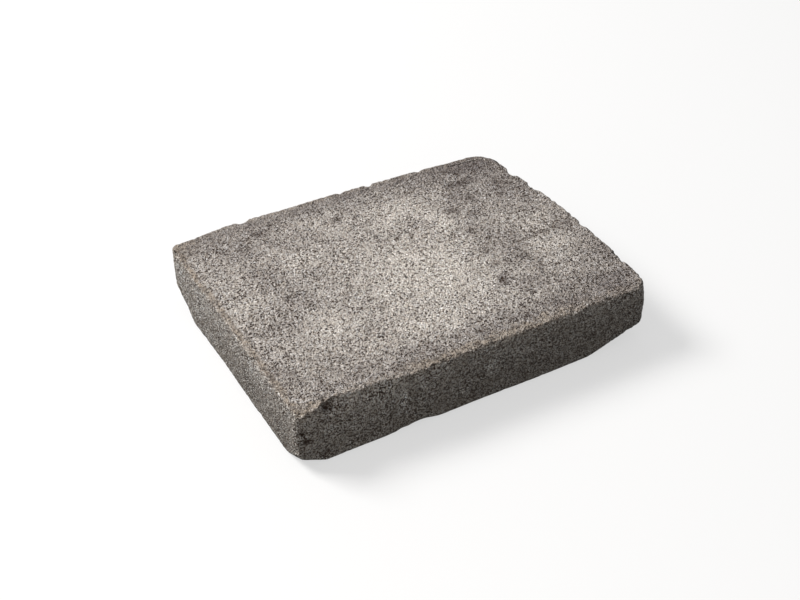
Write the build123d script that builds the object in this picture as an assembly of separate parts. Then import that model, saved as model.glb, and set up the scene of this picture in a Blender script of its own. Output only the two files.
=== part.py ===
from build123d import *
import os

# A tumbled concrete paver, in millimetres: one pressed block whose edges and corners were worn in a drum.
# The frame has X along the length, Y along the width and Z up, with its origin under the block's middle.

# Nominal block
LENGTH = 280.0
WIDTH = 210.0
THICKNESS = 50.0

# Upright corners: how far each is worn in along X and along Y, and how far back its rounding starts
NEAR_LEFT = (3.0, 0.0, 5.5)
NEAR_RIGHT = (1.0, 0.4, 9.0)
FAR_RIGHT = (12.0, 7.6, 20.0)
FAR_LEFT = (0.2, 3.2, 6.0)

# Worn arrises: the radius round the top face, and the bevel round the bed face
TOP_RADIUS = 2.2
BED_BEVEL = 2.4

# How far each side lies in from the straight line between its corners, or out if negative,
# at even stations from corner to corner, anticlockwise
FRONT_WEAR = (0.3, 0.0, 0.4, -0.2, 0.2)
RIGHT_WEAR = (-2.3, -3.7, -4.8, -4.3, -2.0)
BACK_WEAR = (-1.9, -3.1, -4.0, -3.7, -4.0)
LEFT_WEAR = (-0.7, 0.1, 0.1, -0.2, 0.0)

# Corners broken off flat: the side of the block in X, Y and Z, then the setback along X, Y and Z
BROKEN_CORNERS = (
    (-1, -1, -1, 28.0, 17.0, 13.0),
    (-1, -1, -1, 16.0, 30.0, 16.0),
    (1, -1, -1, 57.0, 31.0, 18.0),
    (1, -1, -1, 20.0, 19.0, 21.0),
    (-1, 1, -1, 27.0, 46.0, 20.0),
    (1, 1, -1, 35.0, 31.0, 18.0),
    (1, -1, 1, 12.5, 11.0, 36.0),
)

# Spalls scooped out of the arrises along the length: side in Y and Z, slope of the scoop's axis, which is 1
# where the scoop comes in at 45 degrees, place from the left end, chord and depth
LENGTH_SPALLS = (
    (-1, 1, 0.35, 35.0, 36.0, 5.4),
    (-1, 1, 0.35, 59.0, 60.0, 3.8),
    (-1, -1, 1.0, 81.0, 16.0, 3.4),
    (-1, -1, 1.0, 93.0, 38.0, 4.0),
    (1, 1, 1.0, 203.0, 46.0, 3.6),
    (1, -1, 1.0, 89.0, 40.0, 5.0),
)

# Spalls scooped out of the arrises along the width: side in X and Z, slope of the scoop's axis,
# place from the front, chord and depth
WIDTH_SPALLS = (
    (-1, 1, 1.0, 53.0, 30.0, 3.8),
    (1, 1, 1.0, 171.0, 26.0, 4.4),
    (1, -1, 1.0, 123.0, 44.0, 5.2),
)


def worn_side(start, end, wear):
    """One side of the plan, worn away from the straight line between two rounded corners."""
    along = (end - start).normalized()
    inward = along.rotate(Axis.Z, 90)
    pitch = (end - start).length / (len(wear) + 1)
    stations = [start + along * pitch * (i + 1) + inward * depth for i, depth in enumerate(wear)]
    return Spline(start, *stations, end, tangents=(along, along))


def outline():
    """The plan of the block: four worn sides joined by rounded corners, anticlockwise from the near left."""
    worn = ((-1, -1, NEAR_LEFT), (1, -1, NEAR_RIGHT), (1, 1, FAR_RIGHT), (-1, 1, FAR_LEFT))
    corners = []
    for side_x, side_y, (in_x, in_y, rounding) in worn:
        corners.append((Vector(side_x * (LENGTH / 2 - in_x), side_y * (WIDTH / 2 - in_y)), rounding))
    edges = []
    for i, wear in enumerate((FRONT_WEAR, RIGHT_WEAR, BACK_WEAR, LEFT_WEAR)):
        corner, rounding = corners[i]
        next_corner, next_rounding = corners[(i + 1) % 4]
        along = (next_corner - corner).normalized()
        next_along = (corners[(i + 2) % 4][0] - next_corner).normalized()
        side_end = next_corner - along * next_rounding
        edges.append(worn_side(corner + along * rounding, side_end, wear))
        edges.append(TangentArc(side_end, next_corner + next_along * next_rounding, tangent=along))
    return Face(Wire(edges))


def block_corner(side_x, side_y, side_z):
    """A sharp corner of the nominal block, named by its side in X, Y and Z."""
    height = THICKNESS if side_z > 0 else 0.0
    return Vector(side_x * LENGTH / 2, side_y * WIDTH / 2, height)


def break_corner(block, side_x, side_y, side_z, back_x, back_y, back_z):
    """The block without what lies outside the flat that meets the corner's three edges at these setbacks."""
    corner = block_corner(side_x, side_y, side_z)
    outward = Vector(side_x / back_x, side_y / back_y, side_z / back_z)
    flat = Plane(origin=corner - Vector(side_x * back_x, 0, 0), z_dir=outward)
    return split(block, bisect_by=flat, keep=Keep.BOTTOM)


def spall(place, outward, chord, depth):
    """A ball that scoops a hollow of this chord and depth out of a sharp arris at place."""
    radius = chord**2 / (8 * depth) + depth / 2
    return Pos(place + outward.normalized() * (radius - depth)) * Sphere(radius)


def paver():
    block = extrude(outline(), THICKNESS)
    block = fillet(block.edges().group_by(Axis.Z)[-1], TOP_RADIUS)
    block = chamfer(block.edges().group_by(Axis.Z)[0], BED_BEVEL)
    for corner in BROKEN_CORNERS:
        block = break_corner(block, *corner)
    for side_y, side_z, slope, from_left, chord, depth in LENGTH_SPALLS:
        edge_end = block_corner(-1, side_y, side_z)
        block -= spall(edge_end + Vector(from_left, 0, 0), Vector(0, side_y, side_z * slope), chord, depth)
    for side_x, side_z, slope, from_front, chord, depth in WIDTH_SPALLS:
        edge_end = block_corner(side_x, -1, side_z)
        block -= spall(edge_end + Vector(0, from_front, 0), Vector(side_x, 0, side_z * slope), chord, depth)
    return block


os.makedirs("parts", exist_ok=True)
export_step(paver().solids()[0], "parts/paver.step")
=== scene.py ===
import math

import bpy
import numpy as np
from mathutils import Matrix, Vector
from mathutils.bvhtree import BVHTree


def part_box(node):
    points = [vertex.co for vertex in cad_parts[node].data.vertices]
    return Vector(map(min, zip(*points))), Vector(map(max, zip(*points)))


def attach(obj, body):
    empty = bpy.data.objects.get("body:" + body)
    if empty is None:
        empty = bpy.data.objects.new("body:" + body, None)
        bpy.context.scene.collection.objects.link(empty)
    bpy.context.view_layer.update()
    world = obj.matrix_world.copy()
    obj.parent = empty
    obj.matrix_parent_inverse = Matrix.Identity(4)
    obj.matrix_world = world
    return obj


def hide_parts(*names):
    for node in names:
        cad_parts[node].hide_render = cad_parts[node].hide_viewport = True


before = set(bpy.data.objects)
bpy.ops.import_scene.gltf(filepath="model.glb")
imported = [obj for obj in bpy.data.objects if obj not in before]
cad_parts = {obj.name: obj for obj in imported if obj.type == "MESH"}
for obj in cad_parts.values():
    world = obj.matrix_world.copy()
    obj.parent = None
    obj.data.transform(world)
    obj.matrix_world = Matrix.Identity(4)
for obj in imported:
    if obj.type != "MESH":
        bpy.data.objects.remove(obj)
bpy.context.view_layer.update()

MM = 0.001

# A tumbled concrete paver. Its mesh is laid over the CAD solid, and then grain, pits and chips
# are carved into it. Lengths are in millimetres until the mesh is made.

# The solid's box
LOW, HIGH = (np.array(corner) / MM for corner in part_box("paver"))
HALF_LENGTH = (HIGH[0] - LOW[0]) / 2
HALF_WIDTH = (HIGH[1] - LOW[1]) / 2
HEIGHT = HIGH[2]

# Grid of the mesh: cells along the length and the width of the top, which also go round the sides as rings,
# and how many of them go to each cell of the plain bed
LENGTH_CELLS = 240
WIDTH_CELLS = 180
SIDE_CELLS = (LENGTH_CELLS, WIDTH_CELLS, LENGTH_CELLS, WIDTH_CELLS)
RING_CELLS = sum(SIDE_CELLS)
BED_STEP = 4

# The ring that the grid is cast from: its corner radius, and the height where it is fitted to the sides
RING_RADIUS = 18.0
RING_HEIGHT = 33.0

# How far inside the sides the rings start on the top and end on the bed, how deep the hubs lie that they turn
# round at the arrises, and the width of the strip from the last ring to the plain bed
TOP_INSET = 7.0
TOP_HUB = 5.0
BED_HUB = 6.0
BED_INSET = 12.0
BED_MARGIN = 5.0

# How many rings cross the top's border, each arris, the sides and the bed's border, ends included
TOP_RINGS = 3
ARRIS_RINGS = 9
SIDE_RINGS = 33
BED_RINGS = 4

# Rays start this far outside the solid
REACH = 30.0


# Large primes that scatter the random numbers, and the bits that are kept
PRIMES = [np.uint64(prime) for prime in (374761393, 668265263, 2246822519, 3266489917)]
LOW_BITS = np.uint64(0xFFFFFFFF)


def smoothstep(low, high, x):
    """0 up to low and 1 from high on, with a smooth rise between. With low above high it falls instead."""
    t = np.clip((x - low) / (high - low), 0.0, 1.0)
    return t * t * (3 - 2 * t)


def lattice(cell, seed):
    """Repeatable random numbers from 0 to 1, one for each whole-number cell."""
    c = cell.astype(np.int64).astype(np.uint64)
    h = c[..., 0] * PRIMES[0] + c[..., 1] * PRIMES[1] + c[..., 2] * PRIMES[2]
    h = (h + np.uint64(seed) * PRIMES[3]) & LOW_BITS
    h = ((h ^ (h >> np.uint64(15))) * PRIMES[2]) & LOW_BITS
    h = ((h ^ (h >> np.uint64(13))) * PRIMES[3]) & LOW_BITS
    return (h ^ (h >> np.uint64(16))) / 2.0**32


def noise(p, seed):
    """Smooth gradient noise, about -1 to 1, one bump to each unit."""
    base = np.floor(p)
    f = p - base
    fade = f * f * f * (f * (f * 6 - 15) + 10)
    total = 0.0
    for corner in np.ndindex(2, 2, 2):
        step = np.array(corner, float)
        cell = base + step
        slope = np.stack([lattice(cell, seed + 101 * axis) for axis in range(3)], axis=-1) * 2 - 1
        weight = np.where(step > 0, fade, 1 - fade).prod(axis=-1)
        total = total + weight * (slope * (f - step)).sum(axis=-1)
    return total * 1.6


def layered(p, seed, layers=3, fall=0.5):
    """Noise with finer layers added, each half the size of the last."""
    total = 0.0
    weight = 1.0
    whole = 0.0
    for layer in range(layers):
        total = total + weight * noise(p * 2.0**layer + 17.3 * layer, seed + 7 * layer)
        whole += weight
        weight *= fall
    return total / whole


def cells(p, seed):
    """Distance to the nearest of scattered points, one to each unit cell, and that point's random number."""
    base = np.floor(p)
    nearest = np.full(len(p), 9.0)
    pick = np.zeros(len(p))
    for offset in np.ndindex(3, 3, 3):
        cell = base + np.array(offset, float) - 1
        point = cell + np.stack([lattice(cell, seed + 31 * axis) for axis in range(3)], axis=-1)
        distance = np.linalg.norm(p - point, axis=-1)
        closer = distance < nearest
        nearest = np.where(closer, distance, nearest)
        pick = np.where(closer, lattice(cell, seed + 997), pick)
    return nearest, pick


# Grid over the solid

def plan_ring():
    """Points and outward directions round the box with round corners, anticlockwise from the near left."""
    points = []
    outward = []
    for turn, count in enumerate(SIDE_CELLS):
        half, across = (HALF_LENGTH, HALF_WIDTH) if turn % 2 == 0 else (HALF_WIDTH, HALF_LENGTH)
        straight = half - RING_RADIUS
        reach = straight + RING_RADIUS * math.pi / 4
        s = np.linspace(-reach, reach, count + 1)[:-1]
        angle = np.sign(s) * np.clip(np.abs(s) - straight, 0, None) / RING_RADIUS
        n = np.stack([np.sin(angle), -np.cos(angle)], axis=-1)
        middle = np.stack([np.clip(s, -straight, straight), np.full(count, RING_RADIUS - across)], axis=-1)
        c, sn = math.cos(turn * math.pi / 2), math.sin(turn * math.pi / 2)
        spin = np.array([[c, sn], [-sn, c]])
        points.append((middle + RING_RADIUS * n) @ spin)
        outward.append(n @ spin)
    return np.concatenate(points), np.concatenate(outward)


def shoot(tree, origins, directions):
    """Where rays meet the solid, in millimetres."""
    hits = np.empty((len(origins), 3))
    for i, (origin, direction) in enumerate(zip(origins * MM, directions)):
        place = tree.ray_cast(Vector(origin), Vector(direction))[0]
        if place is None:
            raise RuntimeError("a ray missed the solid at %s" % origin)
        hits[i] = place
    return hits / MM


def profile():
    """Rays for each ring of the grid: start and direction, outward and up from the outline of the sides."""
    rays = []
    for inward in np.linspace(TOP_INSET, TOP_HUB, TOP_RINGS)[:-1]:
        rays.append(((-inward, HEIGHT + REACH), (0.0, -1.0)))
    for angle in np.linspace(0, math.pi / 2, ARRIS_RINGS):
        aim = (math.sin(angle), math.cos(angle))
        rays.append(((-TOP_HUB + REACH * aim[0], HEIGHT - TOP_HUB + REACH * aim[1]), (-aim[0], -aim[1])))
    for level in np.linspace(HEIGHT - TOP_HUB, BED_HUB, SIDE_RINGS)[1:-1]:
        rays.append(((REACH, level), (-1.0, 0.0)))
    for angle in np.linspace(math.pi / 2, math.pi, ARRIS_RINGS):
        aim = (math.sin(angle), math.cos(angle))
        rays.append(((-BED_HUB + REACH * aim[0], BED_HUB + REACH * aim[1]), (-aim[0], -aim[1])))
    for inward in np.linspace(BED_HUB, BED_INSET, BED_RINGS)[1:]:
        rays.append(((-inward, -REACH), (0.0, 1.0)))
    return rays


def patch(ring, across, along):
    """Points that fill a closed ring with an even grid, in rows from front to back."""
    front = ring[:across + 1]
    right = ring[across:across + along + 1]
    back = ring[across + along:2 * across + along + 1][::-1]
    left = np.concatenate([ring[2 * across + along:], ring[:1]])[::-1]
    u = np.linspace(0, 1, across + 1)[None, :, None]
    v = np.linspace(0, 1, along + 1)[:, None, None]
    ruled = (1 - v) * front[None] + v * back[None] + (1 - u) * left[:, None] + u * right[:, None]
    corners = (1 - v) * ((1 - u) * front[0] + u * front[-1]) + v * ((1 - u) * back[0] + u * back[-1])
    return ruled - corners


def grid_index(across, along, ring_start, inner_start):
    """Vertex numbers of a patch: its border is on a ring, and its inside is numbered by rows."""
    index = np.empty((along + 1, across + 1), int)
    index[1:-1, 1:-1] = inner_start + np.arange((along - 1) * (across - 1)).reshape(along - 1, across - 1)
    ring = ring_start + np.arange(2 * (across + along))
    index[0, :] = ring[:across + 1]
    index[:, -1] = ring[across:across + along + 1]
    index[-1, :] = ring[across + along:2 * across + along + 1][::-1]
    index[:, 0] = np.concatenate([ring[2 * across + along:], ring[:1]])[::-1]
    return index


def quads(index):
    """Faces of a patch, facing up."""
    corners = (index[:-1, :-1], index[:-1, 1:], index[1:, 1:], index[1:, :-1])
    return np.stack(corners, axis=-1).reshape(-1, 4)


def lay_grid(solid):
    """The mesh over the solid: its points, its faces in four groups, and the outline of the sides in plan."""
    places = [solid.matrix_world @ v.co for v in solid.data.vertices]
    tree = BVHTree.FromPolygons(places, [tuple(p.vertices) for p in solid.data.polygons])

    ring, outward = plan_ring()
    level = np.zeros((RING_CELLS, 1))
    out3 = np.concatenate([outward, level], axis=1)
    start = np.concatenate([ring, level + RING_HEIGHT], axis=1) + REACH * out3
    ring = shoot(tree, start, -out3)[:, :2]
    rings = []
    for (from_out, from_up), (to_out, to_up) in profile():
        origin = np.concatenate([ring + from_out * outward, level + from_up], axis=1)
        aim = np.concatenate([to_out * outward, level + to_up], axis=1)
        rings.append(shoot(tree, origin, aim))

    points = list(rings)
    around = np.arange(RING_CELLS)
    beside = (around + 1) % RING_CELLS
    ring_faces = []
    for row in range(len(rings) - 1):
        upper = row * RING_CELLS
        lower = upper + RING_CELLS
        corners = (upper + around, lower + around, lower + beside, upper + beside)
        ring_faces.append(np.stack(corners, axis=-1))

    count = RING_CELLS * len(rings)
    inside = patch(rings[0], LENGTH_CELLS, WIDTH_CELLS)[1:-1, 1:-1].reshape(-1, 3).copy()
    inside[:, 2] = HEIGHT + REACH
    points.append(shoot(tree, inside, np.tile((0.0, 0.0, -1.0), (len(inside), 1))))
    top_faces = quads(grid_index(LENGTH_CELLS, WIDTH_CELLS, 0, count))
    count += len(inside)

    bed_cells = (LENGTH_CELLS // BED_STEP, WIDTH_CELLS // BED_STEP)
    bed_ring = rings[-1][::BED_STEP].copy()
    bed_ring[:, :2] -= BED_MARGIN * outward[::BED_STEP]
    points += [bed_ring, patch(bed_ring, *bed_cells)[1:-1, 1:-1].reshape(-1, 3)]
    bed_faces = quads(grid_index(*bed_cells, count, count + len(bed_ring)))[:, ::-1]

    last = RING_CELLS * (len(rings) - 1)
    triangles = []
    for m in range(len(bed_ring)):
        here = count + m
        there = count + (m + 1) % len(bed_ring)
        edge = [last + (BED_STEP * m + i) % RING_CELLS for i in range(BED_STEP + 1)]
        triangles += [(edge[0], here, edge[1]), (edge[1], here, edge[2]), (edge[2], here, there)]
        triangles += [(edge[2], there, edge[3]), (edge[3], there, edge[4])]
    faces = (np.concatenate(ring_faces), top_faces, bed_faces, np.array(triangles))
    return np.concatenate(points), faces, ring


def face_edges(groups):
    """Every edge of the mesh once, as pairs of vertex numbers."""
    pairs = []
    for group in groups:
        pairs += [group[:, [i - 1, i]] for i in range(group.shape[1])]
    return np.unique(np.sort(np.concatenate(pairs), axis=1), axis=0)


def relax(values, edges, rounds, share=0.5):
    """Values evened out with their neighbours' along the mesh."""
    a, b = edges.T
    size = len(values)
    degree = np.bincount(a, minlength=size) + np.bincount(b, minlength=size)
    values = values.copy()
    for _ in range(rounds):
        for axis in range(values.shape[1]):
            v = values[:, axis]
            around = np.bincount(a, v[b], minlength=size) + np.bincount(b, v[a], minlength=size)
            values[:, axis] = v + share * (around / degree - v)
    return values


def vertex_normals(points, groups):
    """Unit normals of the points, weighted by the faces' areas."""
    normals = np.zeros_like(points)
    for group in groups:
        p = points[group]
        face = np.cross(p[:, 1] - p[:, 0], p[:, 2] - p[:, 0])
        if group.shape[1] == 4:
            face = np.cross(p[:, 2] - p[:, 0], p[:, 3] - p[:, 1])
        for corner in group.T:
            for axis in range(3):
                normals[:, axis] += np.bincount(corner, face[:, axis], minlength=len(points))
    return normals / np.linalg.norm(normals, axis=1)[:, None]


def from_sides(points, outline):
    """Distance in plan of each point from the front, the right, the back and the left side."""
    distances = []
    for side in np.split(outline, np.cumsum(SIDE_CELLS)[:-1]):
        nearest = np.full(len(points), np.inf)
        for x, y in side:
            nearest = np.minimum(nearest, np.hypot(points[:, 0] - x, points[:, 1] - y))
        distances.append(nearest)
    return distances


# Rounds of evening out: for the wear of every edge, for what counts as near and for what counts as around
WEAR_ROUNDS = 5
NEAR_ROUNDS = 5
AROUND_ROUNDS = 40

points, groups, outline = lay_grid(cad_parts["paver"])
edges = face_edges(groups)
points = relax(points, edges, WEAR_ROUNDS)
normals = vertex_normals(points, groups)

# How far each place stands out of its surroundings: none on flat faces, most along arrises and at corners
stand_out = ((points - relax(points, edges, AROUND_ROUNDS)) * normals).sum(axis=1)
arris = smoothstep(0.15, 1.3, stand_out)
upward = smoothstep(0.35, 0.85, normals[:, 2])
downward = smoothstep(0.35, 0.85, -normals[:, 2])
upright = 1 - upward - downward

# The corner that stayed sharp, and how far round it
SHARP_CORNER = (136.0, -102.0, 48.0)
SHARP_REACH = 13.0

# Chips and deep pits that the wear left: place, radius and depth
CHIPS = (
    ((-112.0, -101.5, 46.0), 7.5, 5.0),
    ((-133.0, -103.5, 31.0), 3.6, 2.6),
    ((-130.0, -104.0, 23.0), 4.6, 3.0),
    ((-116.0, -104.0, 10.0), 3.2, 1.6),
    ((-137.5, -103.0, 49.5), 3.4, 2.0),
    ((-139.0, -92.0, 49.5), 3.2, 2.0),
    ((-139.0, -77.0, 50.0), 4.6, 2.8),
    ((-139.0, -55.0, 50.0), 4.2, 1.8),
    ((-139.0, -42.0, 49.0), 8.0, 2.0),
    ((-139.5, 92.0, 47.0), 4.0, 3.2),
    ((-83.0, 104.0, 50.0), 5.0, 1.8),
    ((-1.0, 104.0, 50.0), 5.0, 1.8),
    ((66.0, 102.0, 50.0), 6.0, 1.6),
    ((132.0, 62.0, 49.0), 8.0, 2.2),
    ((136.0, 40.0, 49.5), 6.0, 2.0),
    ((104.0, -104.0, 49.0), 4.0, 2.4),
    ((117.0, -104.0, 45.0), 3.5, 1.6),
    ((138.0, -70.0, 49.0), 6.0, 1.6),
)


def chipped(p):
    """Depth of the listed chips, with ragged borders."""
    ragged = layered(p / 4.0, 301, 2)
    depth = np.zeros(len(p))
    for place, radius, most in CHIPS:
        d = np.linalg.norm(p - np.array(place), axis=1) / radius + 0.45 * ragged
        depth = np.maximum(depth, most * smoothstep(1.0, 0.15, d))
    return depth


# Unevenness of several sizes, each with its own seed, and the picks that leave some pits and bites out
swell = layered(points / 46.0, 11, 3)
lumps = layered(points / 9.0, 21, 3, 0.6)
ragged = layered(points / 7.0, 31, 2)
crumbs = layered(points / 3.6, 35, 2, 0.7)
drag = layered(points * np.array([1.0, 1.0, 0.22]) / 3.2, 41, 2)
grain = cells(points / 2.8, 51)[0]
hole, hole_pick = cells(points / 6.0, 61)
pits = (hole_pick > 0.4) * smoothstep(0.30, 0.08, hole) * (0.3 + 0.8 * hole_pick)
bite, bite_pick = cells(points / 8.0, 71)
bites = (bite_pick > 0.55) * smoothstep(0.5, 0.2, bite)

# Rubbed bands of the top, where the grain is closed: a wide one along the back, and a narrow sandy rim along
# the front and the left, with a patch of it at the far left corner and a thin line along the back. The rim is
# narrower along the left and fades down the sides over RIM_FADE below the top. It loses FAINT_SHARE of its
# strength in X between the two ramps of FAINT_STRETCH, and past the ramp of FAINT_RIGHT.
BACK_BAND = 12.0
RIM_WIDTH = 9.0
LEFT_NARROWING = 1.8
RIM_FADE = (12, 5)
FAINT_SHARE = 0.55
FAINT_STRETCH = ((-122, -104), (-40, -62))
FAINT_RIGHT = (45, 100)

along, level = points[:, 0], points[:, 2]
from_front, _, from_back, from_left = from_sides(points, outline)
back_band = upward * smoothstep(BACK_BAND + 3, BACK_BAND - 3, from_back + 4 * ragged)
front_or_left = np.minimum(from_front, LEFT_NARROWING * from_left)
rim = smoothstep(RIM_WIDTH + 2, RIM_WIDTH - 3, front_or_left + 6 * ragged)
far_left = np.hypot(from_back, from_left)
rim = np.maximum(rim, 0.7 * smoothstep(3 * RIM_WIDTH, RIM_WIDTH, far_left + 5 * ragged))
rim = rim * np.maximum(upward, 0.5 * arris) * smoothstep(HEIGHT - RIM_FADE[0], HEIGHT - RIM_FADE[1], level)
rim *= 1 - FAINT_SHARE * smoothstep(*FAINT_STRETCH[0], along) * smoothstep(*FAINT_STRETCH[1], along)
rim *= 1 - FAINT_SHARE * smoothstep(*FAINT_RIGHT, along)
rim = np.maximum(rim, 0.5 * upward * smoothstep(RIM_WIDTH, 2, from_back + 6 * ragged))
rubbed = np.maximum(0.6 * rim, back_band)

# Depths of the carving: of all faces, less on arrises, then of the top's and of the sides' own grain,
# then of what crumbles off worn arrises and off the rim
SKIN, SWELL, LUMP = 0.45, 0.25, 0.20
TOP_GRAIN, TOP_PIT = 0.14, 0.7
SIDE_DRAG, SIDE_GRAIN, SIDE_PIT = 0.20, 0.25, 0.6
RAGGED_WEAR, CRUMB_WEAR, BITE_WEAR, RIM_WEAR = 1.2, 2.0, 2.0, 0.7

# Shares of the carving that arrises, the sharp corner and the bed are spared
ARRIS_SPARED, CORNER_SPARED, BED_SPARED = 0.7, 0.85, 0.85


def above(values, least):
    """How far values rise above the least that counts."""
    return np.clip(values - least, 0, None)


depth = (SKIN + SWELL * swell + LUMP * lumps) * (1 - ARRIS_SPARED * arris)
depth += upward * (TOP_GRAIN * smoothstep(0.25, 0.75, grain) + TOP_PIT * pits)
depth += upright * (SIDE_DRAG * drag + SIDE_GRAIN * smoothstep(0.3, 0.8, grain) + SIDE_PIT * pits)
kept = np.exp(-((points - np.array(SHARP_CORNER)) ** 2).sum(axis=1) / SHARP_REACH**2)
worn = arris * smoothstep(-30, 30, level) * (1 - CORNER_SPARED * kept)
depth += worn * (RAGGED_WEAR * above(ragged, 0.15) + CRUMB_WEAR * above(crumbs, 0.15) + BITE_WEAR * bites)
depth += RIM_WEAR * rim * above(crumbs, 0.1)
depth += chipped(points)
depth *= 1 - BED_SPARED * downward
carved = points - normals * np.clip(depth, 0.0, None)[:, None]
carved = np.clip(carved, LOW, HIGH)

# How deep each place lies below what is round it, which gives painted shade in the hollows
hollow_shade = ((relax(carved, edges, NEAR_ROUNDS) - carved) * normals).sum(axis=1)


# Lighter areas of the walking face: middle in X and Y, half-sizes and strength
LIGHTS = (
    ((5.0, -20.0), (52.0, 55.0), 1.0),
    ((15.0, 58.0), (40.0, 20.0), 0.8),
    ((48.0, 30.0), (14.0, 24.0), 0.7),
    ((-10.0, -62.0), (50.0, 15.0), 0.9),
    ((101.0, -28.0), (20.0, 16.0), 0.6),
    ((108.0, 0.0), (18.0, 11.0), 0.6),
    ((-62.0, 38.0), (18.0, 14.0), 0.6),
    ((-30.0, 78.0), (26.0, 8.0), 0.6),
    ((-75.0, -35.0), (26.0, 22.0), 0.6),
    ((-118.0, 20.0), (14.0, 40.0), 0.3),
)

# Darker purple-grey areas, where the colour was dosed thicker
TONES = (
    ((108.0, 90.0), (38.0, 22.0), 0.75),
    ((87.0, 66.0), (14.0, 8.0), 0.60),
    ((76.0, 52.0), (15.0, 11.0), 0.48),
    ((116.0, 44.0), (16.0, 22.0), 0.50),
    ((62.0, 40.0), (7.0, 7.0), 0.45),
    ((75.0, 28.0), (9.0, 6.0), 0.32),
    ((66.0, 5.0), (11.0, 14.0), 0.36),
    ((81.0, -16.0), (6.0, 20.0), 0.34),
    ((127.0, -15.0), (5.0, 24.0), 0.30),
    ((72.0, -24.0), (13.0, 20.0), 0.28),
    ((51.0, -50.0), (6.0, 7.0), 0.45),
    ((66.0, -60.0), (15.0, 9.0), 0.35),
    ((116.0, -90.0), (22.0, 15.0), 0.84),
    ((80.0, -92.0), (24.0, 9.0), 0.70),
    ((42.0, -91.0), (22.0, 8.0), 0.56),
    ((131.0, -60.0), (9.0, 24.0), 0.40),
    ((92.0, -78.0), (14.0, 8.0), 0.30),
    ((25.0, -92.0), (60.0, 10.0), 0.46),
    ((60.0, -87.0), (14.0, 6.0), 0.36),
    ((20.0, -78.0), (7.0, 4.0), 0.36),
    ((-45.0, -92.0), (45.0, 9.0), 0.36),
    ((-95.0, 25.0), (16.0, 17.0), 0.18),
    ((-98.0, 68.0), (14.0, 10.0), 0.32),
    ((-78.0, 82.0), (11.0, 7.0), 0.38),
    ((-86.0, 0.0), (14.0, 10.0), 0.24),
    ((-108.0, -20.0), (18.0, 12.0), 0.24),
    ((-127.0, -65.0), (10.0, 14.0), 0.30),
    ((-112.0, -83.0), (12.0, 7.0), 0.28),
    ((-3.0, 56.0), (10.0, 8.0), 0.22),
)

# Small dark marks of the walking face
MARKS = (
    ((-19.0, 71.0), (3.4, 2.4), 1.0),
    ((28.0, 36.0), (2.4, 4.0), 0.9),
    ((61.0, 40.0), (4.5, 3.5), 0.8),
    ((75.0, 28.0), (3.0, 2.0), 0.8),
    ((60.0, 10.0), (3.0, 2.5), 0.7),
    ((68.0, -3.0), (3.0, 3.0), 0.8),
    ((57.0, -16.0), (3.0, 3.5), 0.9),
    ((56.0, -32.0), (4.0, 2.6), 0.9),
    ((51.0, -49.0), (2.8, 3.0), 1.0),
    ((79.0, -33.0), (3.0, 3.0), 0.7),
    ((60.0, -71.0), (2.4, 2.4), 0.9),
    ((87.0, 67.0), (5.0, 3.0), 0.8),
    ((82.0, 48.0), (4.0, 3.0), 0.7),
    ((119.0, 51.0), (4.0, 2.0), 0.9),
    ((110.0, 17.0), (2.4, 2.4), 0.7),
    ((93.0, -17.0), (7.0, 1.5), 1.0),
    ((107.0, -16.0), (8.0, 1.4), 0.9),
    ((122.0, -14.0), (8.0, 1.6), 0.9),
    ((-15.0, 40.0), (2.0, 2.0), 0.8),
    ((-5.0, 31.0), (3.0, 2.0), 0.8),
    ((-3.0, 55.0), (2.4, 2.0), 0.7),
    ((-16.0, -35.0), (3.0, 2.0), 0.7),
    ((-97.0, 72.0), (3.0, 2.4), 0.7),
    ((-78.0, 83.0), (3.5, 2.4), 0.6),
    ((-124.0, 50.0), (2.0, 2.0), 0.6),
    ((-118.0, -50.0), (2.4, 2.0), 0.6),
    ((-120.0, -66.0), (3.0, 2.4), 0.6),
    ((-6.0, 66.0), (2.6, 2.0), 0.8),
    ((1.4, 58.0), (2.6, 2.0), 0.8),
    ((10.5, 30.0), (2.2, 2.0), 0.7),
    ((-14.0, 55.0), (2.0, 1.8), 0.6),
    ((-67.0, 88.0), (3.0, 2.0), 0.6),
    ((-49.0, 92.0), (4.0, 2.0), 0.6),
    ((80.0, -51.0), (2.6, 2.2), 0.7),
    ((66.0, -34.0), (4.0, 2.4), 0.8),
)

# Painted shade in the pockets of the front's chips: middle in X, Y and Z, half-sizes and strength
POCKET_SHADE = (
    ((-112.0, -102.0, 44.5), (5.5, 4.0, 6.0), 0.85),
    ((-133.0, -104.0, 31.0), (3.0, 4.0, 3.0), 0.8),
    ((-130.0, -104.0, 23.0), (4.5, 4.0, 3.5), 0.9),
    ((-116.0, -104.0, 9.0), (4.0, 4.0, 3.0), 0.6),
)

# Pale scrapes on the sides and on the back arris: middle in X, Y and Z, half-sizes and strength
SCRAPES = (
    ((-140.0, -33.0, 41.0), (3.0, 1.3, 9.0), 1.0),
    ((-140.0, -37.0, 36.0), (3.0, 1.0, 5.0), 0.7),
    ((-140.0, 40.0, 30.0), (3.0, 6.0, 3.0), 0.15),
    ((-60.0, -105.0, 29.0), (3.0, 3.0, 9.0), 1.0),
    ((8.0, -105.0, 29.0), (5.0, 3.0, 5.0), 0.5),
    ((-13.0, -105.0, 16.0), (5.0, 3.0, 4.0), 0.4),
    ((28.0, -105.0, 34.0), (4.0, 3.0, 4.0), 0.35),
    ((-84.0, -105.0, 35.0), (6.0, 3.0, 5.0), 0.35),
    ((64.0, 102.0, 49.0), (5.0, 3.0, 4.0), 0.6),
)


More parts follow.
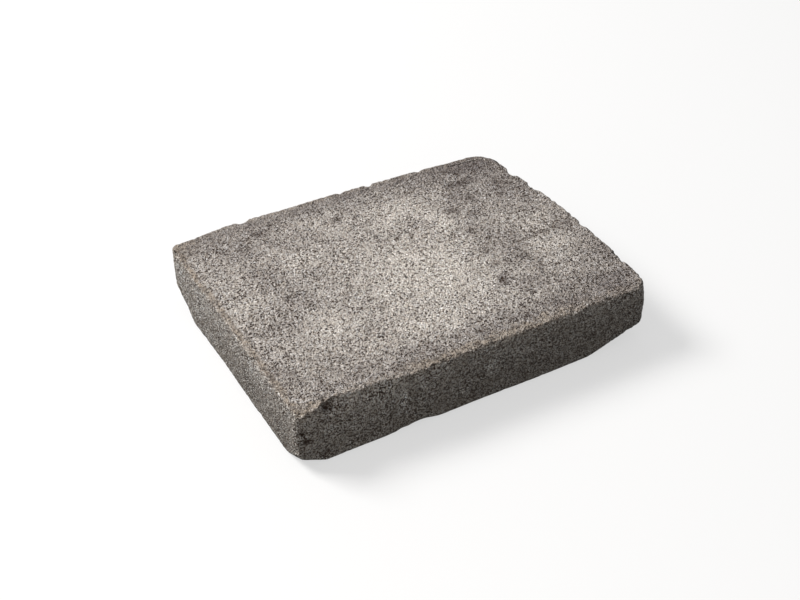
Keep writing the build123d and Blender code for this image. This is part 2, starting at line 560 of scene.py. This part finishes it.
def dabs(p, places, bend, seed):
    """Strength of soft oval dabs with borders bent by noise. A dab with no Z goes through every height."""
    shifts = [layered(p / (2.5 * bend), seed + 5 * axis, 2) for axis in range(3)]
    bent = p + bend * np.stack(shifts, axis=-1)
    total = np.zeros(len(p))
    for middle, halves, strength in places:
        offset = (bent[:, :len(middle)] - np.array(middle)) / np.array(halves)
        total = np.maximum(total, strength * np.exp(-(offset**2).sum(axis=1)))
    return total


# How far from WARM to PURPLE the top is: its plain tone, then the listed areas, then darker towards the back
PLAIN_TONE = 0.45
tone = PLAIN_TONE * (1 - dabs(points, LIGHTS, 7.0, 221))
tone = tone + (1 - tone) * dabs(points, TONES, 6.0, 201)
tone = tone + (1 - tone) * (0.25 * smoothstep(4 * BACK_BAND, BACK_BAND, from_back) + 0.18 * back_band)
# Dark marks of the top, and the painted shade of the front's pockets
marks_and_pocket_shade = np.maximum(upward * dabs(points, MARKS, 1.6, 211), dabs(points, POCKET_SHADE, 1.6, 241))
scrapes = dabs(points, SCRAPES, 1.2, 231)

# How pale the sides are, with painted shade: darker towards the bed and paler upwards from PALE_FROM,
# also paler towards the left end of the front and the far end of the left
PALE_FROM = 8
side_paleness_and_shade = 0.15 + 0.85 * np.clip((level - PALE_FROM) / (HEIGHT - PALE_FROM), 0, 1) ** 1.6
side_paleness_and_shade += 0.30 * np.clip(-normals[:, 1], 0, 1) * smoothstep(30, -110, along)
side_paleness_and_shade += 0.35 * np.clip(-normals[:, 0], 0, 1) * smoothstep(-60, 70, points[:, 1])


# Mesh and its flattened layout for baked maps: the gap between the sheet's parts, and the bed's scale on it

SHEET_GAP = 4.0
BED_SCALE = 0.4


def flatten(points, groups):
    """Each face corner's place, from 0 to 1, on a square sheet: the top, four side strips and the bed."""
    ring_faces, top_faces, bed_faces, triangles = groups
    rows = len(ring_faces) // RING_CELLS
    rings = points[:(rows + 1) * RING_CELLS].reshape(rows + 1, RING_CELLS, 3)
    drops = np.linalg.norm(np.diff(rings, axis=0), axis=2).mean(axis=1)
    drop = np.concatenate([[0.0], np.cumsum(drops)])
    cell = 2 * HALF_LENGTH / LENGTH_CELLS
    along = np.concatenate([np.arange(count) for count in SIDE_CELLS]) * cell
    side = np.repeat(np.arange(4), SIDE_CELLS)

    strip = drop[-1] + SHEET_GAP
    right_of_top = 2 * HALF_LENGTH + SHEET_GAP
    above_top = 2 * HALF_WIDTH + SHEET_GAP
    across = np.tile(np.stack([along, along, along + cell, along + cell], axis=-1), (rows, 1, 1))
    down = np.stack([drop[:-1], drop[1:], drop[1:], drop[:-1]], axis=-1)
    down = np.repeat(down[:, None], RING_CELLS, axis=1)
    lying = np.stack([across, above_top + drop[-1] - down], axis=-1)
    standing = np.stack([right_of_top + down, across], axis=-1)
    lying[:, side == 2, :, 1] += strip
    standing[:, side == 3, :, 0] += strip
    rings_at = np.where((side % 2 == 0)[None, :, None, None], lying, standing)

    top_at = points[top_faces][..., :2] - LOW[:2]
    under = np.array([-1.0, 1.0]) * BED_SCALE
    bed_corner = np.array([right_of_top + 2 * HALF_LENGTH * BED_SCALE, above_top])
    bed_at = [bed_corner + (points[group][..., :2] - LOW[:2]) * under for group in (bed_faces, triangles)]
    places = np.concatenate([part.reshape(-1, 2) for part in (rings_at, top_at, *bed_at)])
    return (places + SHEET_GAP) / (places.max() + 2 * SHEET_GAP)


mesh = bpy.data.meshes.new("paver_block")
mesh.from_pydata((carved * MM).tolist(), [], [face for group in groups for face in group.tolist()])
mesh.update()
mesh.uv_layers.new(name="OFBake").data.foreach_set("uv", flatten(points, groups).astype(np.float32).ravel())
shades = {"upward": upward, "hollow_shade": hollow_shade, "tone": tone, "marks_and_pocket_shade": marks_and_pocket_shade}
shades |= {"side_paleness_and_shade": side_paleness_and_shade, "scrapes": scrapes, "rim": rim, "rubbed": rubbed}
for name, values in shades.items():
    mesh.attributes.new(name, "FLOAT", "POINT").data.foreach_set("value", values.astype(np.float32))
mesh.shade_smooth()
block = bpy.data.objects.new("paver_block", mesh)
bpy.context.scene.collection.objects.link(block)
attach(block, "root")
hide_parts("paver")


# Material

class Graph:
    """A node tree, built a node at a time."""

    def __init__(self, tree):
        self.tree = tree

    def add(self, kind, inputs=None, **settings):
        node = self.tree.nodes.new(kind)
        for key, value in settings.items():
            setattr(node, key, value)
        for key, value in (inputs or {}).items():
            socket = node.inputs[key]
            if isinstance(value, bpy.types.NodeSocket):
                self.tree.links.new(value, socket)
            else:
                socket.default_value = value
        return node

    def vector(self, operation, a, b):
        return self.add("ShaderNodeVectorMath", {0: a, 1: b}, operation=operation).outputs[0]

    def math(self, operation, a, b=0.0):
        return self.add("ShaderNodeMath", {0: a, 1: b}, operation=operation).outputs[0]

    def ramp(self, value, low, high, to_low=0.0, to_high=1.0):
        """A smooth step from one value to another as the input goes from low to high."""
        inputs = {"Value": value, "From Min": low, "From Max": high, "To Min": to_low, "To Max": to_high}
        return self.add("ShaderNodeMapRange", inputs, interpolation_type="SMOOTHSTEP").outputs["Result"]

    def mix(self, factor, a, b, blend="MIX"):
        node = self.add("ShaderNodeMix", {0: factor, 6: a, 7: b}, data_type="RGBA", blend_type=blend)
        return node.outputs[2]

    def warm_shade(self, colour, factor):
        """The colour made darker and warmer by factors below 1, lighter and cooler by factors above it."""
        red = self.math("POWER", factor, 0.91)
        blue = self.math("POWER", factor, 1.09)
        shade = self.add("ShaderNodeCombineColor", {0: red, 1: factor, 2: blue}).outputs[0]
        return self.mix(1.0, colour, shade, "MULTIPLY")

    def noise(self, place, size, detail=2.0, roughness=0.5):
        inputs = {"Vector": place, "Scale": 1.0 / size, "Detail": detail, "Roughness": roughness}
        return self.add("ShaderNodeTexNoise", inputs).outputs["Fac"]

    def grains(self, place, size):
        """Distance from the middle of scattered grains of this size, and two random numbers for each."""
        node = self.add("ShaderNodeTexVoronoi", {"Vector": place, "Scale": 1.0 / size})
        pick = self.add("ShaderNodeSeparateColor", {"Color": node.outputs["Color"]})
        return node.outputs["Distance"], pick.outputs[0], pick.outputs[1]

    def attribute(self, name):
        return self.add("ShaderNodeAttribute", attribute_name=name).outputs["Fac"]


# Colours of the top, the rim, the painted shade in its crevices, the sides in painted shade and painted
# light, the scrapes, and the painted shade of pits that also colours dark marks, then tints of grains
WARM = (0.605, 0.557, 0.508, 1.0)
PURPLE = (0.165, 0.143, 0.138, 1.0)
SANDY = (0.375, 0.32, 0.267, 1.0)
CREVICE_SHADE = (0.15, 0.124, 0.102, 1.0)
SIDE_SHADED_GREY = (0.212, 0.190, 0.167, 1.0)
SIDE_LIT_PALE = (0.43, 0.392, 0.352, 1.0)
PALE = (0.82, 0.79, 0.74, 1.0)
PIT_SHADE_AND_MARK = (0.055, 0.034, 0.024, 1.0)
TAN_GRAIN = (1.03, 1.0, 0.96, 1.0)
BLUE_GRAIN = (0.975, 1.0, 1.035, 1.0)

# Sizes in millimetres of grains and pits, of noise, and how far the grains are shaken
FINES, SAND, PINHOLE, GLINT, GRIT, HOLE = 0.65, 1.2, 1.35, 2.1, 2.3, 2.4
DUST, CRUMB, PATCH, OPEN_GRAIN, BROAD = 0.55, 4.0, 8.0, 14.0, 30.0
SHAKE = 1.2

# Contrast of the fine and the sandy grain, how much more of the first the sides have, partly as painted shade
# of their relief, and the sides' relief
FINES_CONTRAST, SAND_CONTRAST, SIDE_CONTRAST, SIDE_RELIEF = 0.46, 0.12, 2.3, 0.6


def concrete():
    """Open-grained concrete, coloured by the mesh's attributes and by grain of several sizes."""
    material = bpy.data.materials.new("concrete")
    material.use_nodes = True
    g = Graph(material.node_tree)
    shader = material.node_tree.nodes["Principled BSDF"]
    place = g.add("ShaderNodeTexCoord").outputs["Object"]
    place = g.vector("MULTIPLY", place, (1 / MM, 1 / MM, 1 / MM))

    # Places shaken a little, so that the grains aren't straight-sided
    shake = g.add("ShaderNodeTexNoise", {"Vector": place, "Scale": 0.6, "Detail": 1.0}).outputs["Color"]
    shake = g.vector("SUBTRACT", shake, (0.5, 0.5, 0.5))
    shaken = g.vector("ADD", g.vector("MULTIPLY", shake, (SHAKE, SHAKE, SHAKE)), place)

    # Grain and then noise, from fine to coarse
    _, fines_shade, _ = g.grains(shaken, FINES)
    sand, sand_shade, sand_tint = g.grains(shaken, SAND)
    pinhole, pinhole_pick, _ = g.grains(shaken, PINHOLE)
    glint, glint_pick, _ = g.grains(shaken, GLINT)
    grit, grit_shade, _ = g.grains(shaken, GRIT)
    hole, hole_pick, _ = g.grains(shaken, HOLE)
    dust = g.noise(place, DUST, 1.0, 0.6)
    crumb = g.noise(place, CRUMB, 3.0, 0.65)
    patchy = g.noise(place, PATCH, 3.0, 0.65)
    open_grain = g.noise(place, OPEN_GRAIN, 2.0, 0.5)
    broad = g.noise(place, BROAD, 3.0, 0.6)

    # Colour
    upward_at = g.attribute("upward")
    toned = g.math("ADD", g.attribute("tone"), g.math("MULTIPLY", g.math("SUBTRACT", patchy, 0.5), 0.6))
    toned = g.math("ADD", toned, g.math("MULTIPLY", g.math("SUBTRACT", broad, 0.5), 0.3))
    top = g.mix(g.ramp(toned, -0.15, 1.15), WARM, PURPLE)
    # The sides, with painted shade that darkens them towards the bed
    paled = g.math("ADD", g.attribute("side_paleness_and_shade"), g.math("MULTIPLY", g.math("SUBTRACT", patchy, 0.5), 1.2))
    base = g.mix(upward_at, g.mix(g.ramp(paled, -0.2, 1.3), SIDE_SHADED_GREY, SIDE_LIT_PALE), top)
    # The sandy rim, with painted shade in its crevices
    sandy_and_crevice_shade = g.mix(g.ramp(crumb, 0.36, 0.58), CREVICE_SHADE, SANDY)
    base = g.mix(g.math("MULTIPLY", g.attribute("rim"), g.ramp(patchy, 0.3, 0.55, 0.4, 0.9)), base, sandy_and_crevice_shade)
    scraped = g.math("MULTIPLY", g.attribute("scrapes"), g.ramp(dust, 0.35, 0.65, 0.3, 0.9))
    base = g.mix(scraped, base, PALE)

    # Speckle, glints and painted shade in pits
    closed = g.math("SUBTRACT", 1.0, g.math("MULTIPLY", g.attribute("rubbed"), 0.55))
    grained = g.math("MULTIPLY", closed, g.ramp(open_grain, 0.35, 0.65, 0.75, 1.2))
    contrast = g.math("MULTIPLY", grained, g.ramp(upward_at, 0.0, 1.0, SIDE_CONTRAST, 1.0))
    fines = g.ramp(fines_shade, 0.0, 1.0, -FINES_CONTRAST, FINES_CONTRAST)
    speckle = g.math("ADD", 1.0, g.math("MULTIPLY", contrast, fines))
    speckle = g.math("ADD", speckle, g.ramp(sand_shade, 0.0, 1.0, -SAND_CONTRAST, SAND_CONTRAST))
    speckle = g.math("MAXIMUM", 0.1, g.math("MULTIPLY", speckle, g.ramp(grit_shade, 0.0, 1.0, 0.93, 1.07)))
    shine = g.math("MULTIPLY", g.ramp(glint, 0.30, 0.18), g.ramp(glint_pick, 0.50, 0.55))
    speckle = g.math("MULTIPLY", speckle, g.math("ADD", 1.0, g.math("MULTIPLY", shine, 0.5)))
    base = g.mix(1.0, base, g.mix(sand_tint, TAN_GRAIN, BLUE_GRAIN), "MULTIPLY")
    base = g.warm_shade(base, speckle)
    marks_and_pocket_shade_at = g.attribute("marks_and_pocket_shade")
    pitted = g.math("ADD", g.math("MULTIPLY", toned, 0.3), g.math("MULTIPLY", marks_and_pocket_shade_at, 0.5))
    pin_at = g.ramp(g.math("ADD", pinhole_pick, pitted), 0.76, 0.80)
    hole_at = g.ramp(g.math("ADD", hole_pick, pitted), 0.80, 0.84)
    # Painted shade in the pinholes, the holes and the mesh's hollows
    pin = g.math("MULTIPLY", g.ramp(pinhole, 0.48, 0.40), pin_at)
    pit_shade = g.math("MULTIPLY", g.ramp(hole, 0.31, 0.22), hole_at)
    pit_shade = g.math("MULTIPLY", grained, g.math("MAXIMUM", pit_shade, pin))
    pit_shade = g.math("MINIMUM", 1.0, g.math("MAXIMUM", pit_shade, g.ramp(g.attribute("hollow_shade"), 0.25, 0.8)))
    base = g.mix(pit_shade, base, PIT_SHADE_AND_MARK)
    # Dark marks of the top, and the painted shade of the front's pockets
    base = g.mix(g.math("MULTIPLY", marks_and_pocket_shade_at, 0.55), base, PIT_SHADE_AND_MARK)

    # Relief finer than the mesh
    height = g.math("MULTIPLY", g.ramp(sand, 0.0, 0.8), -0.75)
    height = g.math("SUBTRACT", height, g.math("MULTIPLY", g.ramp(grit, 0.0, 0.8), 0.4))
    height = g.math("ADD", height, g.math("MULTIPLY", dust, 0.15))
    height = g.math("SUBTRACT", height, g.math("MULTIPLY", g.ramp(pinhole, 0.65, 0.2), pin_at))
    height = g.math("SUBTRACT", height, g.math("MULTIPLY", g.ramp(hole, 0.5, 0.15), hole_at))
    strength = g.ramp(upward_at, 0.0, 1.0, SIDE_RELIEF, 1.0)
    bump = g.add("ShaderNodeBump", {"Strength": strength, "Distance": MM, "Height": height}).outputs[0]
    links = material.node_tree.links
    links.new(base, shader.inputs["Base Color"])
    links.new(bump, shader.inputs["Normal"])
    shader.inputs["Roughness"].default_value = 0.92
    shader.inputs["Specular IOR Level"].default_value = 0.25
    return material


mesh.materials.append(concrete())


# Floor, light and camera, in metres

FLOOR_REACH = 30.0
FLOOR_GREY = (0.36, 0.36, 0.36, 1.0)
FLOOR_GLOW = 0.58
SKY_STRENGTH = 0.33
SKY_LOW = (0.05, 0.05, 0.05, 1.0)
WHITE = (1.0, 1.0, 1.0, 1.0)

# The photograph's camera, fitted to the block's outline: its angles in degrees, its focal length and the
# picture's width in pixels, and its place backward, rightward and upward from the origin
AZIMUTH, ELEVATION = -29.09, 39.02
FOCAL_PIXELS, PICTURE_WIDTH = 1342.3, 800.0
CAMERA_BACK, CAMERA_RIGHT, CAMERA_UP = 0.9871, -0.0041, 0.0120


def make_floor():
    """A plain pale floor that glows a little. The block isn't lit by it."""
    floor_mesh = bpy.data.meshes.new("floor")
    corners = [(x * FLOOR_REACH, y * FLOOR_REACH, 0) for x, y in ((-1, -1), (1, -1), (1, 1), (-1, 1))]
    floor_mesh.from_pydata(corners, [], [(0, 1, 2, 3)])
    floor = bpy.data.objects.new("floor", floor_mesh)
    bpy.context.scene.collection.objects.link(floor)
    material = bpy.data.materials.new("floor")
    material.use_nodes = True
    shader = material.node_tree.nodes["Principled BSDF"]
    shader.inputs["Base Color"].default_value = FLOOR_GREY
    shader.inputs["Emission Color"].default_value = WHITE
    shader.inputs["Emission Strength"].default_value = FLOOR_GLOW
    shader.inputs["Roughness"].default_value = 0.9
    shader.inputs["Specular IOR Level"].default_value = 0.0
    floor_mesh.materials.append(material)
    floor.visible_diffuse = False


def make_light(name, towards, distance, size, energy, colour):
    """A square soft light that shines on the origin from this direction."""
    data = bpy.data.lights.new(name, "AREA")
    data.shape = "SQUARE"
    data.size = size
    data.energy = energy
    data.color = colour
    light = bpy.data.objects.new(name, data)
    towards = Vector(towards).normalized()
    light.location = towards * distance
    light.rotation_euler = towards.to_track_quat("Z", "Y").to_euler()
    bpy.context.scene.collection.objects.link(light)


def make_world():
    """Soft light from all round, dark at the horizon and white from about 20 degrees above it."""
    world = bpy.data.worlds.new("studio")
    world.use_nodes = True
    g = Graph(world.node_tree)
    background = world.node_tree.nodes["Background"]
    direction = g.add("ShaderNodeTexCoord").outputs["Generated"]
    up = g.add("ShaderNodeSeparateXYZ", {0: direction}).outputs[2]
    sky = g.mix(g.ramp(up, -0.05, 0.35), SKY_LOW, WHITE)
    world.node_tree.links.new(sky, background.inputs["Color"])
    background.inputs["Strength"].default_value = SKY_STRENGTH
    bpy.context.scene.world = world


def make_camera():
    azimuth, elevation = math.radians(AZIMUTH), math.radians(ELEVATION)
    flat = math.cos(elevation)
    back = Vector((math.sin(azimuth) * flat, -math.cos(azimuth) * flat, math.sin(elevation)))
    right = Vector((math.cos(azimuth), math.sin(azimuth), 0.0))
    up = back.cross(right)
    data = bpy.data.cameras.new("camera")
    data.sensor_width = 36.0
    data.lens = data.sensor_width * FOCAL_PIXELS / PICTURE_WIDTH
    data.clip_start = 0.01
    camera = bpy.data.objects.new("camera", data)
    turn = Matrix((right, up, back)).transposed().to_4x4()
    place = back * CAMERA_BACK + right * CAMERA_RIGHT + up * CAMERA_UP
    camera.matrix_world = Matrix.Translation(place) @ turn
    bpy.context.scene.collection.objects.link(camera)
    bpy.context.scene.camera = camera


make_floor()
make_light("key", (-0.50, 0.49, 0.71), 3.0, 1.2, 110.0, (1.0, 0.985, 0.965))
make_light("fill", (-0.6, -0.9, 0.35), 0.7, 0.3, 0.34, (1.0, 0.92, 0.83))
make_world()
make_camera()
bpy.context.scene.view_settings.view_transform = "Standard"
